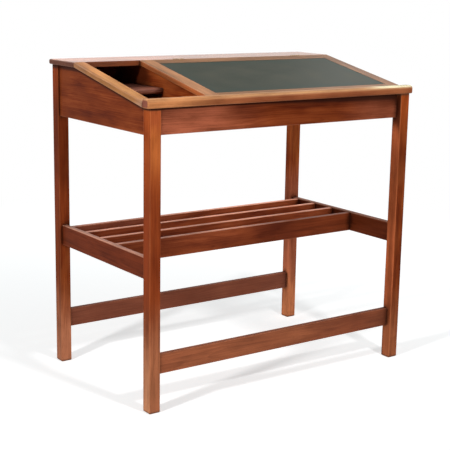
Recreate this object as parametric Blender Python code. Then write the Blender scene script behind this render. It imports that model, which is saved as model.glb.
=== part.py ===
"""Architect's standing desk: a tenoned leg frame, a slatted shelf and a sloping desk top.

X runs along the desk, Y from front to back and Z up, in metres.
The origin is on the floor, in the middle of the four legs.
"""

import math
from collections import defaultdict

import bmesh
import bpy
from mathutils import Matrix, Vector

# Leg frame
FRAME_WIDTH = 1.100
FRAME_DEPTH = 0.660
TOP_HEIGHT = 1.109
LEG_SIZE = 0.041
LEG_EDGE = 0.0025
FOOT_CHAMFER = 0.003

# Desk top: a flat ledge at the back, a slope, and a front rail that stops pencils
END_OVERHANG = 0.011
EDGE_OVERHANG = 0.005
SLOPE = math.radians(11.6)
LEDGE_DEPTH = 0.187
LEDGE_THICK = 0.018
LEDGE_EDGE = 0.006
SLOPE_THICK = 0.018
SLOPE_RAIL_WIDTH = 0.046
SLOPE_RAIL_EDGE = 0.005
FRONT_RAIL_DEPTH = 0.037
LIP_HEIGHT = 0.0105
NOSE_RADIUS = 0.011
FRONT_RAIL_EDGE = 0.005
TOP_BOARD_EDGE = 0.003

# Case under the top
FRONT_APRON_HEIGHT = 0.087
APRON_THICK = 0.018
APRON_BACK_INSET = 0.002
BACK_APRON_INSET = 0.008
PANEL_THICK = 0.018
PANEL_INSET = 0.007
DIVIDER_THICK = 0.016
DIVIDER_REVEAL = 0.004
CASE_BOTTOM_THICK = 0.009
BATTEN_RISE = 0.003
BATTEN_HEIGHT = 0.012
BATTEN_WIDTH = 0.015

# Open compartment at the left and its pen shelf
COMPARTMENT_WIDTH = 0.216
PEN_SHELF_DEPTH = 0.290
PEN_SHELF_THICK = 0.019
PEN_SHELF_NOSE = 0.008
PEN_SHELF_DROP = 0.067
PEN_BATTEN_SIZE = 0.012
PEN_BATTEN_SETBACK = 0.012

# Lid: frame and panel with an inlay, hinged to the ledge
LID_END_INSET = 0.003
LID_FRONT_GAP = 0.004
LID_BACK_GAP = 0.0008
STILE_WIDTH = 0.050
LID_BACK_WIDTH = 0.045
LID_FRONT_WIDTH = 0.047
INLAY_THICK = 0.0025
INLAY_RECESS = 0.0005
CORE_THICK = 0.012
TONGUE_THICK = 0.006
TONGUE_LENGTH = 0.007
TENON_SETBACK = 0.0005

# Butt hinges
HINGE_COUNT = 2
HINGE_INSET = 0.160
HINGE_LENGTH = 0.045
LEAF_THICK = 0.001
LEAF_HEIGHT = 0.013
PIN_RADIUS = 0.0009
CURL_SLIT = math.radians(17)
KNUCKLES = 5
SCREW_COUNT = 2
SCREW_DEPTH = 0.008
SCREW_LENGTH = 0.011
SCREW_HEAD_RADIUS = 0.0022
SCREW_HEAD_HEIGHT = 0.001
SCREW_SHANK_RADIUS = 0.001
SCREW_TIP = 0.002
SCREW_SINK = 0.0001

# Slatted shelf
SHELF_TOP = 0.517
SHELF_RAIL_HEIGHT = 0.0725
SHELF_RAIL_THICK = 0.020
SHELF_RAIL_INSET = 0.010
SLAT_COUNT = 4
SLAT_PITCH = 0.106
SLAT_THICK = 0.020
SLAT_HEIGHT = 0.070
SLAT_DROP = 0.0025
SLAT_BACK_GAP = 0.019

# Stretchers near the floor
FRONT_STRETCHER_BOTTOM = 0.125
BACK_STRETCHER_BOTTOM = 0.128
STRETCHER_HEIGHT = 0.067
STRETCHER_THICK = 0.020
FRONT_STRETCHER_SETBACK = 0.019
BACK_STRETCHER_SETBACK = 0.012

# Joinery
SEAT_GAP = 0.0003
TENON_THICK = 0.008
TENON_SHOULDER = 0.010
TENON_LENGTH = 0.016
STRETCHER_TENON = 0.020
SLAT_TENON = 0.010
DIVIDER_TENON = 0.006
MORTISE_WALL = 0.004
TENON_ROOT = 0.002
RAIL_EDGE = 0.0015
LEG_DOWEL_RADIUS = 0.005
LEG_DOWEL_DOWN = 0.018
LEG_DOWEL_UP = 0.011
RAIL_DOWEL_RADIUS = 0.003
RAIL_DOWEL_REACH = 0.011
RAIL_DOWEL_SPACING = 0.022
DOWEL_CHAMFER = 0.001

# How round pieces are divided
ROUND_SIDES = 16
SCREW_SIDES = 10
EDGE_STEPS = 2
ROUNDED_STEPS = 4
NOSE_STEPS = 5
SMOOTH_ANGLE = math.radians(30)
SHARP_ANGLE = math.radians(40)

# How close a point lies to a face that it counts as on, and how far cutters run past a face
NEAR = 0.0002
CUT_PAST = 0.002

# Places worked out from the sizes above
half_width = FRAME_WIDTH / 2
half_depth = FRAME_DEPTH / 2
leg_inner_x = half_width - LEG_SIZE
leg_inner_y = half_depth - LEG_SIZE
top_half_width = half_width + END_OVERHANG
ledge_back = half_depth + EDGE_OVERHANG
bend_y = ledge_back - LEDGE_DEPTH
ledge_bottom = TOP_HEIGHT - LEDGE_THICK
ledge_front = bend_y + LID_BACK_GAP / 2
front_rail_front = -half_depth - EDGE_OVERHANG
front_rail_back = front_rail_front + FRONT_RAIL_DEPTH
apron_back = -leg_inner_y - APRON_BACK_INSET
back_apron_back = half_depth - BACK_APRON_INSET
back_apron_front = back_apron_back - APRON_THICK
panel_outer = half_width - PANEL_INSET
panel_inner = panel_outer - PANEL_THICK
panel_mid = (panel_outer + panel_inner) / 2
slope_rail_inner = -top_half_width + SLOPE_RAIL_WIDTH
lid_left = slope_rail_inner + COMPARTMENT_WIDTH
lid_right = top_half_width - LID_END_INSET
divider_left = lid_left + DIVIDER_REVEAL
divider_right = divider_left + DIVIDER_THICK
bore_radius = PIN_RADIUS + SEAT_GAP
barrel_radius = bore_radius + LEAF_THICK
apron_tenon = LEG_SIZE - PANEL_INSET - PANEL_THICK / 2 - TENON_THICK / 2 - MORTISE_WALL
case_tenon_drop = LEG_DOWEL_DOWN + MORTISE_WALL


def slope_top(y):
    """Height of the sloping top's upper face."""
    return TOP_HEIGHT - (bend_y - y) * math.tan(SLOPE)


def slope_under(y):
    """Height of the sloping top's lower face."""
    return slope_top(y) - SLOPE_THICK / math.cos(SLOPE)


front_rail_bottom = slope_under(front_rail_back)
front_rail_top = slope_top(front_rail_back) + LIP_HEIGHT
front_leg_top = front_rail_bottom - SEAT_GAP
apron_bottom = front_leg_top - FRONT_APRON_HEIGHT
case_floor_low = apron_bottom + BATTEN_RISE + BATTEN_HEIGHT + SEAT_GAP
case_floor_top = case_floor_low + CASE_BOTTOM_THICK
back_leg_top = ledge_bottom - SEAT_GAP
lid_front = -(bend_y - front_rail_back - LID_FRONT_GAP) / math.cos(SLOPE)

# Recesses that the pieces named here get once every tenon and dowel is known
recesses = defaultdict(list)


def make_finish(name, colour, roughness, metallic=0.0):
    """Principled material with the part's colour."""
    material = bpy.data.materials.new(name)
    material.use_nodes = True
    shader = material.node_tree.nodes["Principled BSDF"]
    shader.inputs["Base Color"].default_value = (*colour, 1.0)
    shader.inputs["Roughness"].default_value = roughness
    shader.inputs["Metallic"].default_value = metallic
    material.diffuse_color = (*colour, 1.0)
    return material


def add_piece(name, shape, finish=None):
    """Turn a bmesh into an object of the scene."""
    bmesh.ops.recalc_face_normals(shape, faces=shape.faces)
    mesh = bpy.data.meshes.new(name)
    shape.to_mesh(mesh)
    shape.free()
    if finish:
        mesh.materials.append(finish)
    piece = bpy.data.objects.new(name, mesh)
    bpy.context.scene.collection.objects.link(piece)
    return piece


def box_shape(low, high):
    """Plain box between two corners."""
    shape = bmesh.new()
    middle = (Vector(low) + Vector(high)) / 2
    size = Vector(high) - Vector(low)
    place = Matrix.Translation(middle) @ Matrix.Diagonal((*size, 1.0))
    bmesh.ops.create_cube(shape, size=1.0, matrix=place)
    return shape


def prism_shape(outline, axis, start, end):
    """Straight prism along X, Y or Z: an outline of point pairs, in the order of the other two axes."""
    shape = bmesh.new()
    place = {
        "X": lambda t, p: (t, p[0], p[1]),
        "Y": lambda t, p: (p[0], t, p[1]),
        "Z": lambda t, p: (p[0], p[1], t),
    }[axis]
    rings = [[shape.verts.new(place(t, point)) for point in outline] for t in (start, end)]
    for ring in rings:
        shape.faces.new(ring)
    count = len(outline)
    for i in range(count):
        j = (i + 1) % count
        shape.faces.new((rings[0][i], rings[0][j], rings[1][j], rings[1][i]))
    return shape


def turned_shape(profile, sides, axis):
    """Solid of revolution along X, Y or Z. The profile's (place, radius) points start and end on it."""
    shape = bmesh.new()
    spin_y = Matrix.Rotation(math.pi / 2, 4, "Y")
    spin_x = Matrix.Rotation(-math.pi / 2, 4, "X")
    turn = {"X": spin_y, "Y": spin_x, "Z": Matrix.Identity(4)}[axis]
    rings = []
    for place, radius in profile[1:-1]:
        angles = [2 * math.pi * i / sides for i in range(sides)]
        ring = [turn @ Vector((radius * math.cos(a), radius * math.sin(a), place)) for a in angles]
        rings.append([shape.verts.new(point) for point in ring])
    for (place, _), ring in ((profile[0], rings[0]), (profile[-1], rings[-1])):
        tip = shape.verts.new(turn @ Vector((0, 0, place)))
        for i in range(sides):
            shape.faces.new((ring[i], ring[(i + 1) % sides], tip))
    for lower, upper in zip(rings, rings[1:]):
        for i in range(sides):
            j = (i + 1) % sides
            shape.faces.new((lower[i], lower[j], upper[j], upper[i]))
    bmesh.ops.recalc_face_normals(shape, faces=shape.faces)
    return shape


def rod_shape(radius, start, end, axis, chamfer=0.0):
    """Round rod with chamfered ends, if a chamfer is given."""
    profile = [(start, 0), (start, radius - chamfer), (end, radius - chamfer), (end, 0)]
    if chamfer:
        profile[2:2] = [(start + chamfer, radius), (end - chamfer, radius)]
    return turned_shape(profile, ROUND_SIDES, axis)


def moved(shape, x=0.0, y=0.0, z=0.0):
    """Shift a shape."""
    bmesh.ops.translate(shape, verts=shape.verts, vec=(x, y, z))
    return shape


def grouped(shapes):
    """Put several shapes into one, as separate bodies."""
    together = bmesh.new()
    for shape in shapes:
        mesh = bpy.data.meshes.new("group")
        bmesh.ops.recalc_face_normals(shape, faces=shape.faces)
        shape.to_mesh(mesh)
        shape.free()
        together.from_mesh(mesh)
        bpy.data.meshes.remove(mesh)
    return together


def ease(shape, radius, steps, choose):
    """Round the edges that the function choose picks by their two ends."""
    edges = [e for e in shape.edges if choose(e.verts[0].co, e.verts[1].co)]
    bmesh.ops.bevel(shape, geom=edges, offset=radius, offset_type="OFFSET", segments=steps, profile=0.5,
                    affect="EDGES", clamp_overlap=True)


def ease_sharp(shape, radius, steps):
    """Round every edge that is still sharp."""
    bmesh.ops.recalc_face_normals(shape, faces=shape.faces)
    edges = [e for e in shape.edges if e.calc_face_angle(0.0) > SHARP_ANGLE]
    bmesh.ops.bevel(shape, geom=edges, offset=radius, offset_type="OFFSET", segments=steps, profile=0.5,
                    affect="EDGES", clamp_overlap=True)


def runs_along(axis):
    """Chooser for edges that run along one axis."""
    index = "XYZ".index(axis)
    others = [i for i in range(3) if i != index]
    return lambda a, b: all(abs(a[i] - b[i]) < NEAR for i in others)


def board(name, finish, low, high, axis, edge=RAIL_EDGE):
    """Board with its long edges eased."""
    shape = box_shape(low, high)
    ease(shape, edge, EDGE_STEPS, runs_along(axis))
    return add_piece(name, shape, finish)


def combine(piece, tool_shape, operation):
    """Join a shape to a piece, or cut it out of the piece."""
    tool = add_piece("tool", tool_shape)
    modifier = piece.modifiers.new("combine", "BOOLEAN")
    modifier.operation = operation
    modifier.solver = "EXACT"
    modifier.object = tool
    shaped = piece.evaluated_get(bpy.context.evaluated_depsgraph_get())
    mesh = bpy.data.meshes.new_from_object(shaped)
    piece.modifiers.clear()
    old_mesh = piece.data
    piece.data = mesh
    bpy.data.meshes.remove(old_mesh)
    mesh.name = piece.name
    tool_mesh = tool.data
    bpy.data.objects.remove(tool)
    bpy.data.meshes.remove(tool_mesh)


def grown(low, high, gap):
    """Box that is larger by a gap all round."""
    return [v - gap for v in low], [v + gap for v in high]


def tenon_box(axis, end, reach, middle, thick, z_low, z_high):
    """Corners of a tenon that leaves a board's end along X or Y. The sign of reach is its direction."""
    root = end - math.copysign(TENON_ROOT, reach)
    along = sorted((root, end + reach))
    across = (middle - thick / 2, middle + thick / 2)
    first, second = (along, across) if axis == "X" else (across, along)
    return (first[0], second[0], z_low), (first[1], second[1], z_high)


def add_tenons(piece, tenons):
    """Join tenons to a piece, and note the mortise that each one needs in the piece it enters."""
    combine(piece, grouped([box_shape(low, high) for _, low, high in tenons]), "UNION")
    for host, low, high in tenons:
        recesses[host].append(box_shape(*grown(low, high, SEAT_GAP)))


def cut_recesses():
    """Cut all noted mortises and dowel holes."""
    for host, shapes in recesses.items():
        combine(bpy.data.objects[host], grouped(shapes), "DIFFERENCE")


def make_legs(finish):
    """Four legs: the front pair carries the front rail, the back pair the ledge."""
    for depth_word, y_side, top in (("front", -1, front_leg_top), ("back", 1, back_leg_top)):
        for width_word, x_side in (("left", -1), ("right", 1)):
            x_range = sorted((x_side * half_width, x_side * leg_inner_x))
            y_range = sorted((y_side * half_depth, y_side * leg_inner_y))
            shape = box_shape((x_range[0], y_range[0], 0), (x_range[1], y_range[1], top))
            ease(shape, LEG_EDGE, EDGE_STEPS, runs_along("Z"))
            ease(shape, FOOT_CHAMFER, 1, lambda a, b: max(a.z, b.z) < NEAR)
            add_piece(f"leg_{depth_word}_{width_word}", shape, finish)


def make_cross_rail(name, finish, y_range, z_range, tenon_length, tenon_drop, legs):
    """Board between a left and a right leg, with a tenon in each that starts a drop below its top."""
    y_low, y_high = y_range
    z_low, z_high = z_range
    x_end = leg_inner_x - SEAT_GAP
    rail = board(name, finish, (-x_end, y_low, z_low), (x_end, y_high, z_high), "X")
    span = (z_low + TENON_SHOULDER, z_high - tenon_drop)
    middle = (y_low + y_high) / 2
    tenons = []
    for leg, side in zip(legs, (-1, 1)):
        tenons.append((leg, *tenon_box("X", side * x_end, side * tenon_length, middle, TENON_THICK, *span)))
    add_tenons(rail, tenons)


def make_aprons_and_stretchers(finish):
    """Long boards that join the legs along the front and the back."""
    front_legs = ("leg_front_left", "leg_front_right")
    back_legs = ("leg_back_left", "leg_back_right")
    front_face = -half_depth + FRONT_STRETCHER_SETBACK
    back_face = leg_inner_y + BACK_STRETCHER_SETBACK
    front_apron_y = (apron_back - APRON_THICK, apron_back)
    back_apron_y = (back_apron_front, back_apron_back)
    front_z = (FRONT_STRETCHER_BOTTOM, FRONT_STRETCHER_BOTTOM + STRETCHER_HEIGHT)
    back_z = (BACK_STRETCHER_BOTTOM, BACK_STRETCHER_BOTTOM + STRETCHER_HEIGHT)
    make_cross_rail("front_apron", finish, front_apron_y, (apron_bottom, front_leg_top), apron_tenon,
                    case_tenon_drop, front_legs)
    make_cross_rail("back_apron", finish, back_apron_y, (apron_bottom, back_leg_top), apron_tenon,
                    case_tenon_drop, back_legs)
    make_cross_rail("front_stretcher", finish, (front_face, front_face + STRETCHER_THICK), front_z,
                    STRETCHER_TENON, TENON_SHOULDER, front_legs)
    make_cross_rail("back_stretcher", finish, (back_face, back_face + STRETCHER_THICK), back_z,
                    STRETCHER_TENON, TENON_SHOULDER, back_legs)


def case_top(y):
    """Height of the underside that the case's side walls meet."""
    return min(ledge_bottom, slope_under(y)) - SEAT_GAP


def wall_outline(y_front, y_back, bottom):
    """Side view of a wall whose top follows the slope and the ledge."""
    kink = bend_y + (SLOPE_THICK / math.cos(SLOPE) - LEDGE_THICK) / math.tan(SLOPE)
    return [(y_front, bottom), (y_back, bottom), (y_back, case_top(y_back)), (kink, case_top(kink)),
            (y_front, case_top(y_front))]


def make_side_panels(finish):
    """Side walls of the case, tenoned into the legs."""
    y_end = leg_inner_y - SEAT_GAP
    for word, side in (("left", -1), ("right", 1)):
        faces = sorted((side * panel_outer, side * panel_inner))
        shape = prism_shape(wall_outline(-y_end, y_end, apron_bottom), "X", *faces)
        panel = add_piece(f"{word}_side_panel", shape, finish)
        low = apron_bottom + TENON_SHOULDER
        tenons = []
        for leg, y_side, top in (("front", -1, front_leg_top), ("back", 1, back_leg_top)):
            box = tenon_box("Y", y_side * y_end, y_side * TENON_LENGTH, side * panel_mid, TENON_THICK, low,
                            top - case_tenon_drop)
            tenons.append((f"leg_{leg}_{word}", *box))
        add_tenons(panel, tenons)


def make_divider(finish):
    """Wall between the open compartment and the space under the lid."""
    y_front = apron_back + SEAT_GAP
    y_back = back_apron_front - SEAT_GAP
    bottom = case_floor_top + SEAT_GAP
    shape = prism_shape(wall_outline(y_front, y_back, bottom), "X", divider_left, divider_right)
    divider = add_piece("compartment_divider", shape, finish)
    middle = (divider_left + divider_right) / 2
    low = bottom + TENON_SHOULDER
    front_high = front_leg_top - TENON_SHOULDER
    back_high = back_leg_top - TENON_SHOULDER
    front = tenon_box("Y", y_front, -DIVIDER_TENON, middle, TENON_THICK, low, front_high)
    back = tenon_box("Y", y_back, DIVIDER_TENON, middle, TENON_THICK, low, back_high)
    add_tenons(divider, [("front_apron", *front), ("back_apron", *back)])


def make_case_bottom(finish):
    """Floor of the case, notched round the legs, on two battens."""
    wide = panel_inner - SEAT_GAP
    narrow = leg_inner_x - SEAT_GAP
    front = apron_back + SEAT_GAP
    front_notch = -leg_inner_y + SEAT_GAP
    back_notch = leg_inner_y - SEAT_GAP
    back = back_apron_front - SEAT_GAP
    right_side = [(narrow, front), (narrow, front_notch), (wide, front_notch), (wide, back_notch),
                  (narrow, back_notch), (narrow, back)]
    outline = right_side + [(-x, y) for x, y in reversed(right_side)]
    add_piece("case_bottom", prism_shape(outline, "Z", case_floor_low, case_floor_top), finish)
    low = apron_bottom + BATTEN_RISE
    for word, y_low in (("front", front), ("back", back - BATTEN_WIDTH)):
        board(f"bottom_batten_{word}", finish, (-narrow, y_low, low),
              (narrow, y_low + BATTEN_WIDTH, low + BATTEN_HEIGHT), "X")


def make_pen_shelf(finish, batten_finish):
    """Shelf in the open compartment, under the ledge, on two battens."""
    x_low = -panel_inner + SEAT_GAP
    x_high = divider_left - SEAT_GAP
    y_back = leg_inner_y - SEAT_GAP
    y_front = y_back - PEN_SHELF_DEPTH
    top = ledge_bottom - PEN_SHELF_DROP
    shape = box_shape((x_low, y_front, top - PEN_SHELF_THICK), (x_high, y_back, top))
    ease(shape, PEN_SHELF_NOSE, NOSE_STEPS, lambda a, b: max(a.y, b.y) < y_front + NEAR and a.z == b.z)
    add_piece("pen_shelf", shape, finish)
    batten_top = top - PEN_SHELF_THICK - SEAT_GAP
    for word, x in (("left", x_low), ("right", x_high - PEN_BATTEN_SIZE)):
        board(f"pen_shelf_batten_{word}", batten_finish,
              (x, y_front + PEN_BATTEN_SETBACK, batten_top - PEN_BATTEN_SIZE),
              (x + PEN_BATTEN_SIZE, y_back, batten_top), "Y")


def make_shelf(finish):
    """Slats on edge between two end rails."""
    rail_outer = half_width - SHELF_RAIL_INSET
    rail_inner = rail_outer - SHELF_RAIL_THICK
    rail_bottom = SHELF_TOP - SHELF_RAIL_HEIGHT
    y_end = leg_inner_y - SEAT_GAP
    for word, side in (("left", -1), ("right", 1)):
        faces = sorted((side * rail_outer, side * rail_inner))
        rail = board(f"shelf_rail_{word}", finish, (faces[0], -y_end, rail_bottom),
                     (faces[1], y_end, SHELF_TOP), "Y")
        span = (rail_bottom + TENON_SHOULDER, SHELF_TOP - TENON_SHOULDER)
        tenons = []
        for leg, y_side in (("front", -1), ("back", 1)):
            box = tenon_box("Y", y_side * y_end, y_side * TENON_LENGTH, sum(faces) / 2, TENON_THICK, *span)
            tenons.append((f"leg_{leg}_{word}", *box))
        add_tenons(rail, tenons)
    slat_top = SHELF_TOP - SLAT_DROP
    slat_bottom = slat_top - SLAT_HEIGHT
    span = (max(slat_bottom, rail_bottom) + TENON_SHOULDER, slat_top - TENON_SHOULDER)
    x_end = rail_inner - SEAT_GAP
    for i in range(SLAT_COUNT):
        y_back = leg_inner_y - SLAT_BACK_GAP - i * SLAT_PITCH
        y_front = y_back - SLAT_THICK
        slat = board(f"shelf_slat_{i + 1}", finish, (-x_end, y_front, slat_bottom),
                     (x_end, y_back, slat_top), "X")
        middle = (y_front + y_back) / 2
        tenons = []
        for word, side in (("left", -1), ("right", 1)):
            box = tenon_box("X", side * x_end, side * SLAT_TENON, middle, TENON_THICK, *span)
            tenons.append((f"shelf_rail_{word}", *box))
        add_tenons(slat, tenons)


def make_ledge(finish):
    """Flat board across the back, with rounded ends and back edge."""
    low = (-top_half_width, ledge_front, ledge_bottom)
    high = (top_half_width, ledge_back, TOP_HEIGHT)
    shape = box_shape(low, high)
    ease(shape, LEDGE_EDGE, ROUNDED_STEPS, lambda a, b: max(a.y, b.y) > ledge_front + NEAR)
    add_piece("back_ledge", shape, finish)


def make_front_rail(finish):
    """Full-width rail at the low edge of the slope, with a large round nose."""
    low = (-top_half_width, front_rail_front, front_rail_bottom)
    high = (top_half_width, front_rail_back, front_rail_top)
    shape = box_shape(low, high)
    ease(shape, NOSE_RADIUS, NOSE_STEPS,
         lambda a, b: max(a.y, b.y) < front_rail_front + NEAR and min(a.z, b.z) > front_rail_top - NEAR)
    ease_sharp(shape, FRONT_RAIL_EDGE, ROUNDED_STEPS)
    add_piece("front_rail", shape, finish)


def make_slope_rail(finish):
    """Fixed sloping rail at the left, cut plumb at both ends."""
    y_front = front_rail_back + SEAT_GAP
    y_back = bend_y - SEAT_GAP
    outline = [(y_front, slope_under(y_front)), (y_back, slope_under(y_back)), (y_back, slope_top(y_back)),
               (y_front, slope_top(y_front))]
    shape = prism_shape(outline, "X", -top_half_width, slope_rail_inner)
    ease(shape, SLOPE_RAIL_EDGE, ROUNDED_STEPS, lambda a, b: a.x == b.x and abs(a.y - b.y) > SLOPE_THICK)
    add_piece("left_slope_rail", shape, finish)


def add_dowel(name, finish, radius, ends, axis, place, hosts):
    """Dowel between two pieces, and the holes that it needs in them."""
    dowel = add_piece(name, rod_shape(radius, *ends, axis, DOWEL_CHAMFER), finish)
    dowel.location = place
    for host in hosts:
        hole = rod_shape(radius + SEAT_GAP, ends[0] - SEAT_GAP, ends[1] + SEAT_GAP, axis)
        recesses[host].append(moved(hole, *place))


def make_dowels(finish):
    """Dowels that hold the ledge and the front rail on the legs, and the slope rail between them."""
    leg_mid_x = half_width - LEG_SIZE / 2
    rail_mid_y = (front_rail_front + front_rail_back) / 2
    leg_mid_y = half_depth - LEG_SIZE / 2
    for depth_word, y, top, above in (("front", rail_mid_y, front_leg_top, "front_rail"),
                                      ("back", leg_mid_y, back_leg_top, "back_ledge")):
        for width_word, x in (("left", -leg_mid_x), ("right", leg_mid_x)):
            add_dowel(f"leg_dowel_{depth_word}_{width_word}", finish, LEG_DOWEL_RADIUS,
                      (-LEG_DOWEL_DOWN, LEG_DOWEL_UP), "Z", (x, y, top),
                      (f"leg_{depth_word}_{width_word}", above))
    rail_mid_x = (slope_rail_inner - top_half_width) / 2
    for depth_word, y, host in (("front", front_rail_back, "front_rail"), ("back", bend_y, "back_ledge")):
        for number, side in ((1, -1), (2, 1)):
            x = rail_mid_x + side * RAIL_DOWEL_SPACING / 2
            add_dowel(f"slope_rail_dowel_{depth_word}_{number}", finish, RAIL_DOWEL_RADIUS,
                      (-RAIL_DOWEL_REACH, RAIL_DOWEL_REACH), "Y", (x, y, slope_top(y) - SLOPE_THICK / 2),
                      ("left_slope_rail", host))


def lid_back(z):
    """Where the lid's back face lies, in the lid's own frame: plumb while the lid is closed."""
    return (z * math.sin(SLOPE) - LID_BACK_GAP / 2) / math.cos(SLOPE)


def lid_board(name, finish, x_range, y_front, y_back, eased):
    """Lid member in the lid's frame. A y_back of None means the lid's plumb back face."""
    end = 0.0 if y_back is None else y_back
    shape = box_shape((x_range[0], y_front, -SLOPE_THICK), (x_range[1], end, 0.0))
    if y_back is None:
        for vert in shape.verts:
            if vert.co.y > y_front + NEAR:
                vert.co.y = lid_back(vert.co.z)
    ease(shape, TOP_BOARD_EDGE, EDGE_STEPS, eased)
    return add_piece(name, shape, finish)


def make_lid(finish, core_finish, inlay_finish):
    """Lid in its own frame: origin on the hinge axis, top face at zero, -Y down the slope."""
    left_inner = lid_left + STILE_WIDTH
    right_inner = lid_right - STILE_WIDTH
    back_edge = -LID_BACK_WIDTH
    front_edge = lid_front + LID_FRONT_WIDTH
    core_top = -(INLAY_RECESS + INLAY_THICK + SEAT_GAP)
    tongue_mid = core_top - CORE_THICK / 2
    tongue = (tongue_mid - TONGUE_THICK / 2, tongue_mid + TONGUE_THICK / 2)
    groove = (tongue[0] - SEAT_GAP, tongue[1] + SEAT_GAP)
    groove_depth = TONGUE_LENGTH + SEAT_GAP

    def is_front(a, b):
        return max(a.y, b.y) < lid_front + NEAR and abs(a.x - b.x) > NEAR

    pieces = []
    for word, outer, inner in (("left", lid_left, left_inner), ("right", lid_right, right_inner)):
        x_range = sorted((outer, inner))
        stile = lid_board(f"lid_{word}_stile", finish, x_range, lid_front, None,
                          lambda a, b: (abs(a.x - outer) + abs(b.x - outer) < NEAR
                                        and abs(a.y - b.y) > SLOPE_THICK) or is_front(a, b))
        into = math.copysign(groove_depth, outer - inner)
        out = math.copysign(CUT_PAST, inner - outer)
        sides = sorted((inner + into, inner + out))
        cutter = box_shape((sides[0], lid_front - CUT_PAST, groove[0]), (sides[1], CUT_PAST, groove[1]))
        combine(stile, cutter, "DIFFERENCE")
        pieces.append(stile)

    x_ends = (left_inner + SEAT_GAP, right_inner - SEAT_GAP)
    spans = (
        ("back", back_edge, None, (back_edge - CUT_PAST, back_edge + groove_depth),
         (back_edge + groove_depth + SEAT_GAP, lid_back(-SLOPE_THICK))),
        ("front", lid_front, front_edge, (front_edge - groove_depth, front_edge + CUT_PAST),
         (lid_front + TENON_SETBACK, front_edge - groove_depth - SEAT_GAP)),
    )
    for word, y_front, y_back, groove_y, tenon_y in spans:
        rail = lid_board(f"lid_{word}_rail", finish, x_ends, y_front, y_back, is_front)
        combine(rail, box_shape((x_ends[0] - CUT_PAST, groove_y[0], groove[0]),
                                (x_ends[1] + CUT_PAST, groove_y[1], groove[1])), "DIFFERENCE")
        stubs = [box_shape((x_ends[0] - TONGUE_LENGTH, tenon_y[0], tongue[0]),
                           (x_ends[0] + TENON_ROOT, tenon_y[1], tongue[1])),
                 box_shape((x_ends[1] - TENON_ROOT, tenon_y[0], tongue[0]),
                           (x_ends[1] + TONGUE_LENGTH, tenon_y[1], tongue[1]))]
        combine(rail, grouped(stubs), "UNION")
        pieces.append(rail)

    low = (left_inner + SEAT_GAP, front_edge + SEAT_GAP)
    high = (right_inner - SEAT_GAP, back_edge - SEAT_GAP)
    core_shape = box_shape((*low, core_top - CORE_THICK), (*high, core_top))
    core = add_piece("lid_core_panel", core_shape, core_finish)
    reach = TONGUE_LENGTH - SEAT_GAP
    plate = box_shape((low[0] - reach, low[1] - reach, tongue[0]),
                      (high[0] + reach, high[1] + reach, tongue[1]))
    combine(core, plate, "UNION")
    inlay_shape = box_shape((*low, core_top + SEAT_GAP), (*high, -INLAY_RECESS))
    inlay = add_piece("lid_inlay", inlay_shape, inlay_finish)
    return pieces + [core, inlay]


def screw_shape(side, gap=0.0):
    """Countersunk screw from its head's face into the wood, larger by a gap where it serves as a cutter."""
    profile = [(0, 0), (0, SCREW_HEAD_RADIUS + gap), (SCREW_HEAD_HEIGHT, SCREW_SHANK_RADIUS + gap),
               (SCREW_LENGTH + gap, SCREW_SHANK_RADIUS + gap), (SCREW_LENGTH + SCREW_TIP + gap, 0)]
    if gap:
        profile[:1] = [(-gap, 0), (-gap, SCREW_HEAD_RADIUS + gap)]
    shape = turned_shape(profile, SCREW_SIDES, "Y")
    if side < 0:
        bmesh.ops.rotate(shape, verts=shape.verts, matrix=Matrix.Rotation(math.pi, 3, "Z"))
    return shape


def screw_places(side):
    """Places of one leaf's screw heads in the hinge's frame."""
    spacing = HINGE_LENGTH / SCREW_COUNT
    starts = [(i - (SCREW_COUNT - 1) / 2) * spacing for i in range(SCREW_COUNT)]
    return [(x, side * (LID_BACK_GAP / 2 + SCREW_SINK), -SCREW_DEPTH) for x in starts]


def screw_cutters(side):
    """Holes for one leaf's screws."""
    return [moved(screw_shape(side, SEAT_GAP), *place) for place in screw_places(side)]


def side_box(side, x_range, y_range, z_range):
    """Box in the hinge's frame, on the ledge's side (+1) or the lid's side (-1) of the axis."""
    y_low, y_high = sorted((side * y_range[0], side * y_range[1]))
    return box_shape((x_range[0], y_low, z_range[0]), (x_range[1], y_high, z_range[1]))


def arc(radius, start, end):
    """Points of an arc round the hinge axis, from one angle to another."""
    angles = [start + (end - start) * i / ROUND_SIDES for i in range(ROUND_SIDES + 1)]
    return [(radius * math.cos(a), radius * math.sin(a)) for a in angles]


def curl_outline(side):
    """Section of a leaf that is rolled round the pin, with the slit where the roll closes."""
    inner = LID_BACK_GAP / 2
    outer = inner + LEAF_THICK
    meets_inner = -math.acos(inner / barrel_radius)
    meets_outer = -math.acos(outer / barrel_radius)
    roll_end = meets_outer + CURL_SLIT - 2 * math.pi
    points = [(inner, -LEAF_HEIGHT)]
    points += arc(barrel_radius, meets_inner, roll_end)
    points += arc(bore_radius, roll_end, meets_outer)
    points += [(outer, barrel_radius * math.sin(meets_outer)), (outer, -LEAF_HEIGHT)]
    return [(side * y, z) for y, z in points]


def make_leaf(name, finish, side, own):
    """Hinge leaf in the hinge's frame, notched for the other leaf's knuckles."""
    half = HINGE_LENGTH / 2
    pitch = HINGE_LENGTH / KNUCKLES
    room = barrel_radius + SEAT_GAP
    leaf = add_piece(name, prism_shape(curl_outline(side), "X", -half, half), finish)
    notches = []
    for i in set(range(KNUCKLES)) - set(own):
        past_start = SEAT_GAP / 2 if i else CUT_PAST
        past_end = SEAT_GAP / 2 if i < KNUCKLES - 1 else CUT_PAST
        x_range = (-half + i * pitch - past_start, -half + (i + 1) * pitch + past_end)
        notches.append(box_shape((x_range[0], -LEAF_HEIGHT, -room), (x_range[1], LEAF_HEIGHT, LEAF_HEIGHT)))
    combine(leaf, grouped(notches), "DIFFERENCE")
    combine(leaf, grouped(screw_cutters(side)), "DIFFERENCE")
    return leaf


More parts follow.
